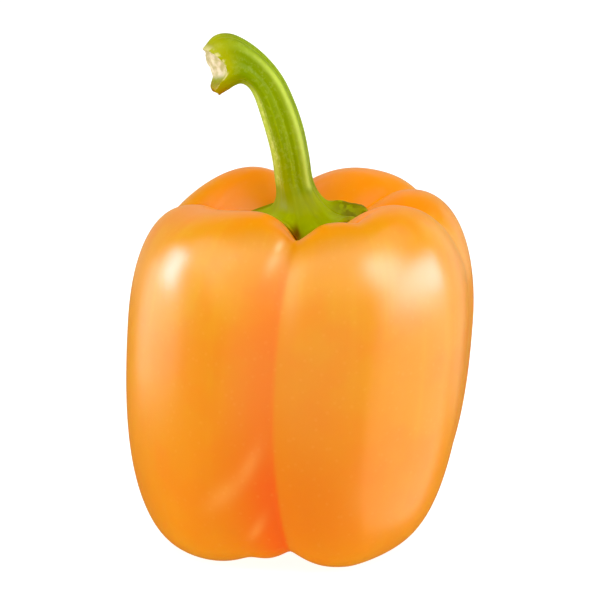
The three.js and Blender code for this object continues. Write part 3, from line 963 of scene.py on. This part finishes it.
def green_rings(columns):
    """The green body's rings: under the calyx, round its edge, up the flare and the stalk, and over the cut.

    With them come each ring's level, which on the stalk is its share of the way up, its way from the calyx's
    edge, and one where it is on the cut. The calyx's edge is half a turn of a circle, as thick as the calyx.
    """
    under = np.linspace(0, 1, UNDERSIDE_ROWS + 1)[1:, None]
    turn = np.linspace(0, math.pi, EDGE_ROWS + 2)[1:-1, None]
    climb = np.arange(FLARE_ROWS)[:, None] / FLARE_ROWS
    along = np.linspace(FLARE_STALK_END, 1, STALK_ROWS)[:, None]
    inward = np.linspace(0, 1, CUT_ROWS + 1)[1:-1, None]
    thickness = calyx_thickness_at(columns)
    bulge = CALYX_EDGE_BULGE * thickness / CALYX_THICKNESS
    edge_share = 1 + bulge * np.sin(turn) - (1 - FLARE_OUTER_SHARE) * turn / math.pi
    edge_height = CALYX_GAP + thickness * (1 - np.cos(turn)) / 2
    spans = [
        over_fruit(columns, under, CALYX_GAP),
        over_fruit(columns, edge_share, edge_height),
        flare_point(columns, climb),
        stalk_point(columns, along),
        stalk_point(columns, np.ones_like(inward), 1 - inward, cut_relief_at(columns, inward)),
    ]
    levels = [
        np.full_like(under, UNDERSIDE_LEVEL),
        np.full_like(turn, EDGE_LEVEL),
        climb - 1 + FLARE_STALK_END,
        along,
        1 + inward * CUT_LEVELS,
    ]
    from_edge = [1 - under, np.zeros_like(turn), climb, FOOT_PLACE + along, CUT_PLACE + inward]
    on_cut = np.where(np.concatenate(levels) > 1, 1.0, 0.0)
    return np.concatenate(spans), np.concatenate(levels), np.concatenate(from_edge), on_cut


def calyx_values(columns, from_edge):
    """What the calyx's colour follows: bell curves round it, and from its edge inwards."""
    sides = sum(strength * near_azimuth(columns, at, width) for at, width, strength in DARK_EDGE_SIDES)
    dark_edge = DARK_EDGE_ALL_ROUND + (1 - DARK_EDGE_ALL_ROUND) * sides
    dry_tip = 1 - eased(from_edge, *DRY_TIP_FADE)
    values = {
        "edge": dark_edge * hump(from_edge / DARK_EDGE_REACH),
        "dry_tip": dry_tip * near_azimuth(columns, DRY_TIP_AZIMUTH, DRY_TIP_WIDTH),
    }
    for name, at, width, reach, strength in CALYX_SPOTS:
        spot = strength * near_azimuth(columns, at, width) * hump(from_edge / reach)
        values[name] = np.minimum(spot, 1)
    return values


def stalk_values(columns, levels, on_cut):
    """What the stalk's colour follows: bell curves round it, and spans of the way up it, short of the cut."""
    on_stalk = eased(levels, *STALK_FOOT_SPAN) * (1 - on_cut)
    bands = sum(strength * near_azimuth(columns, at, width) for at, width, strength in SHEEN_BANDS)
    bands_left = 1 - SHEEN_BANDS_LOST * eased(levels, *SHEEN_BANDS_FADE)
    speckle = near_azimuth(columns, SPECKLE_AZIMUTH, SPECKLE_WIDTH) * (1 - eased(levels, *SPECKLE_FADE))
    dry_end = DRY_END_STRENGTH * eased(levels, *DRY_END_SPAN) * (1 - on_cut)
    dry_leaf = DRY_LEAF_STRENGTH * (1 - eased(levels, *DRY_LEAF_FADE))
    dry_root = DRY_ROOT_STRENGTH * near_azimuth(columns, DRY_ROOT_AZIMUTH, DRY_ROOT_WIDTH)
    dry_root = dry_root * hump((levels - DRY_ROOT_LEVEL) / DRY_ROOT_SPREAD)
    return {
        # Painted sheen along the stalk
        "sheen_band": bands * bands_left * on_stalk,
        "speckle": np.maximum(speckle, SPECKLE_ALL_ROUND) * on_stalk,
        # Painted shade towards the stalk's top
        "upper": UPPER_SHADE_STRENGTH * eased(levels, *UPPER_SHADE_SPAN) * (1 - on_cut),
        "dry": np.maximum(np.maximum(dry_end, dry_leaf), dry_root),
    }


def cut_values(columns, levels, from_edge, on_cut):
    """What the colour of the cut and its lip follows: the way to its inner side, and bells at its edge."""
    to_centre = np.clip(levels - 1, 0, None) / CUT_LEVELS
    to_inner_side = -np.sin(np.radians(columns)) * (1 - to_centre)
    under_lip = near_azimuth(columns, LIP_AZIMUTH, LIP_WIDTH) * eased(levels, *LIP_SPAN) * (1 - on_cut)
    lip = np.maximum(under_lip, on_cut * eased(to_inner_side, 0, 1))
    off_lip = 1 - np.clip(LIP_CLEARANCE * lip, 0, 1)
    bruise = near_azimuth(columns, BRUISE_AZIMUTH, BRUISE_WIDTH)
    return {
        "cut": on_cut * (1 - eased(to_inner_side, *PITH_FADE)),
        "lip": lip,
        "torn": eased(levels, *TORN_SPAN) * off_lip * (1 - on_cut),
        "cut_edge": on_cut * hump((from_edge - CUT_PLACE) / CUT_EDGE_SPREAD),
        "bruise": bruise * hump((from_edge - BRUISE_PLACE) / BRUISE_SPREAD),
    }


def make_stem_and_calyx():
    """The green body: the stalk and the calyx as one closed surface, with what its colour follows."""
    columns = azimuths(GREEN_COLUMNS)
    rings, levels, from_edge, on_cut = green_rings(columns)
    values = {
        **calyx_values(columns, from_edge),
        **stalk_values(columns, levels, on_cut),
        **cut_values(columns, levels, from_edge, on_cut),
    }
    attributes = {key: (0, value, 0) for key, value in values.items()}
    attributes["cut"] = (0, values["cut"], 1)
    angle = np.radians(columns)
    way = np.stack(np.broadcast_arrays(np.sin(angle), np.cos(angle), levels * FIBRE_LENGTHS), axis=-1)
    attributes["stalk_way"] = ((0, 0, UNDERSIDE_LEVEL), way, (0, 0, FIBRE_LENGTHS))
    start = over_fruit(np.zeros(1), np.zeros(1), CALYX_GAP)
    end = stalk_point(np.zeros(1), np.ones(1), 0.0)
    stem = closed_mesh("pepper_stem_and_calyx", rings, start, end, attributes)
    stem.data.materials.append(green_material())
    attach(stem, "root")
    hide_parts("stem_and_calyx")


def make_floor():
    """A wide plain pale sheet that the pepper stands on, which glows a little and is never mirrored."""
    half = FLOOR_WIDTH / 2
    corners = [(-half, -half, 0), (half, -half, 0), (half, half, 0), (-half, half, 0)]
    mesh = bpy.data.meshes.new("studio_floor")
    mesh.from_pydata(corners, [], [(0, 1, 2, 3)])
    floor = bpy.data.objects.new("studio_floor", mesh)
    bpy.context.scene.collection.objects.link(floor)
    floor.visible_glossy = False
    floor.visible_shadow = False
    material, _, shader = new_material("floor_paper")
    shader.inputs["Base Color"].default_value = (FLOOR_GREY, FLOOR_GREY, FLOOR_GREY, 1)
    shader.inputs["Roughness"].default_value = 0.9
    shader.inputs["Specular IOR Level"].default_value = 0.1
    shader.inputs["Emission Color"].default_value = (1, 1, 1, 1)
    shader.inputs["Emission Strength"].default_value = FLOOR_GLOW
    mesh.materials.append(material)


def aim(thing, place, target, roll=0):
    """Puts a light or a camera at a place, looking at the target, and rolls it about its view in degrees."""
    thing.location = place
    thing.rotation_mode = "QUATERNION"
    look = (target - place).to_track_quat("-Z", "Y")
    thing.rotation_quaternion = look @ Quaternion((0, 0, 1), math.radians(roll))


def round_about(target, azimuth, elevation, distance):
    """A place round the target, by azimuth from the front, positive to the right, and elevation above level.

    It lies above the target by the distance times the elevation's sine, and out from it by the cosine.
    """
    turn, tip = math.radians(azimuth), math.radians(elevation)
    level = math.cos(tip)
    return target + distance * Vector((math.sin(turn) * level, -math.cos(turn) * level, math.sin(tip)))


def add_softbox(name, view, size, radiance, only, roll=0, tint=PLAIN_TINT):
    """A rectangular soft light that faces the pepper and isn't seen itself.

    Its view is its azimuth and elevation in degrees and its distance in metres, and its size its width and
    height in metres. Its power is its radiance times its area times pi, and its tint the colour of its light.
    It lights only the body of what it falls on, or only its gloss.
    """
    width, height = size
    data = bpy.data.lights.new(name, "AREA")
    data.shape = "RECTANGLE"
    data.size = width
    data.size_y = height
    data.energy = radiance * width * height * math.pi
    data.color = tint
    light = bpy.data.objects.new(name, data)
    light.visible_camera = False
    light.visible_diffuse = only == "body"
    light.visible_glossy = only == "gloss"
    bpy.context.scene.collection.objects.link(light)
    aim(light, round_about(TARGET, *view), TARGET, roll)


def add_lights():
    """Lamps that make the highlights, glows that the skin mirrors softly, and light for the skin's body."""
    add_softbox("right_softbox", (82, 7, 0.5), (0.44, 0.15), 14, "gloss", roll=-3, tint=LAMP_TINT)
    add_softbox("right_front_softbox", (49, 26, 0.5), (0.28, 0.16), 12, "gloss", roll=-38, tint=LAMP_TINT)
    add_softbox("left_softbox", (-102, 15, 0.5), (0.15, 0.18), 19, "gloss", tint=LAMP_TINT)
    add_softbox("left_halo", (-74, 36, 0.6), (0.5, 0.3), 3.6, "gloss")
    add_softbox("left_low_gloss", (-106, -4, 0.5), (0.38, 0.22), 2.6, "gloss")
    add_softbox("right_low_gloss", (80, -24, 0.5), (0.64, 0.52), 2.2, "gloss", tint=WARM_TINT)
    add_softbox("right_rim_gloss", (128, 4, 0.5), (0.24, 0.5), 0.9, "gloss")
    add_softbox("right_high_gloss", (75, 50, 0.6), (0.5, 0.36), 1.9, "gloss")
    add_softbox("front_glow", (0, 38, 0.7), (2.1, 0.6), 2.3, "gloss")
    add_softbox("front_low_glow", (-5, -5, 0.9), (1.2, 0.6), 0.9, "gloss")
    add_softbox("back_glow", (180, 15, 0.9), (1.8, 0.9), 0.35, "gloss")
    add_softbox("overhead_body", (0, 62, 0.6), (0.9, 0.5), 2.5, "body")
    add_softbox("back_body", (180, 38, 0.7), (0.9, 0.5), 1.6, "body")
    add_softbox("right_body", (82, -3, 0.5), (0.3, 0.4), 3.75, "body")
    add_softbox("left_body", (-85, 0, 0.5), (0.3, 0.4), 3.1, "body")


def make_world():
    """Plain surroundings: pale where the camera looks at them, and dim as a light."""
    world = bpy.data.worlds.new("studio")
    bpy.context.scene.world = world
    world.use_nodes = True
    world.cycles.sampling_method = "NONE"
    tree = world.node_tree
    paths = tree.nodes.new("ShaderNodeLightPath").outputs
    light = ranged(tree, paths["Is Glossy Ray"], 0, 1, WORLD_LIGHT, WORLD_MIRRORED)
    background = tree.nodes["Background"]
    plug(tree, background.inputs["Strength"], sums(tree, "MAXIMUM", light, paths["Is Camera Ray"]))
    background.inputs["Color"].default_value = (1, 1, 1, 1)


def make_camera():
    """The photograph's view: from the front, a little above the pepper, with a long lens."""
    data = bpy.data.cameras.new("camera")
    data.sensor_width = CAMERA_SENSOR
    data.lens = CAMERA_LENS
    data.clip_start, data.clip_end = CAMERA_CLIP
    camera = bpy.data.objects.new("camera", data)
    bpy.context.scene.collection.objects.link(camera)
    aim(camera, round_about(TARGET, 0, CAMERA_ELEVATION, CAMERA_DISTANCE), TARGET)
    bpy.context.scene.camera = camera


def set_view():
    """The plain view of colours, from the black level up."""
    view = bpy.context.scene.view_settings
    view.view_transform = "Standard"
    view.use_curve_mapping = True
    view.curve_mapping.black_level = (BLACK_LEVEL, BLACK_LEVEL, BLACK_LEVEL)


TARGET = Vector((AXIS_PLACE[0] * MM, AXIS_PLACE[1] * MM, TARGET_HEIGHT))

make_fruit()
make_stem_and_calyx()
make_floor()
make_world()
make_camera()
add_lights()
set_view()
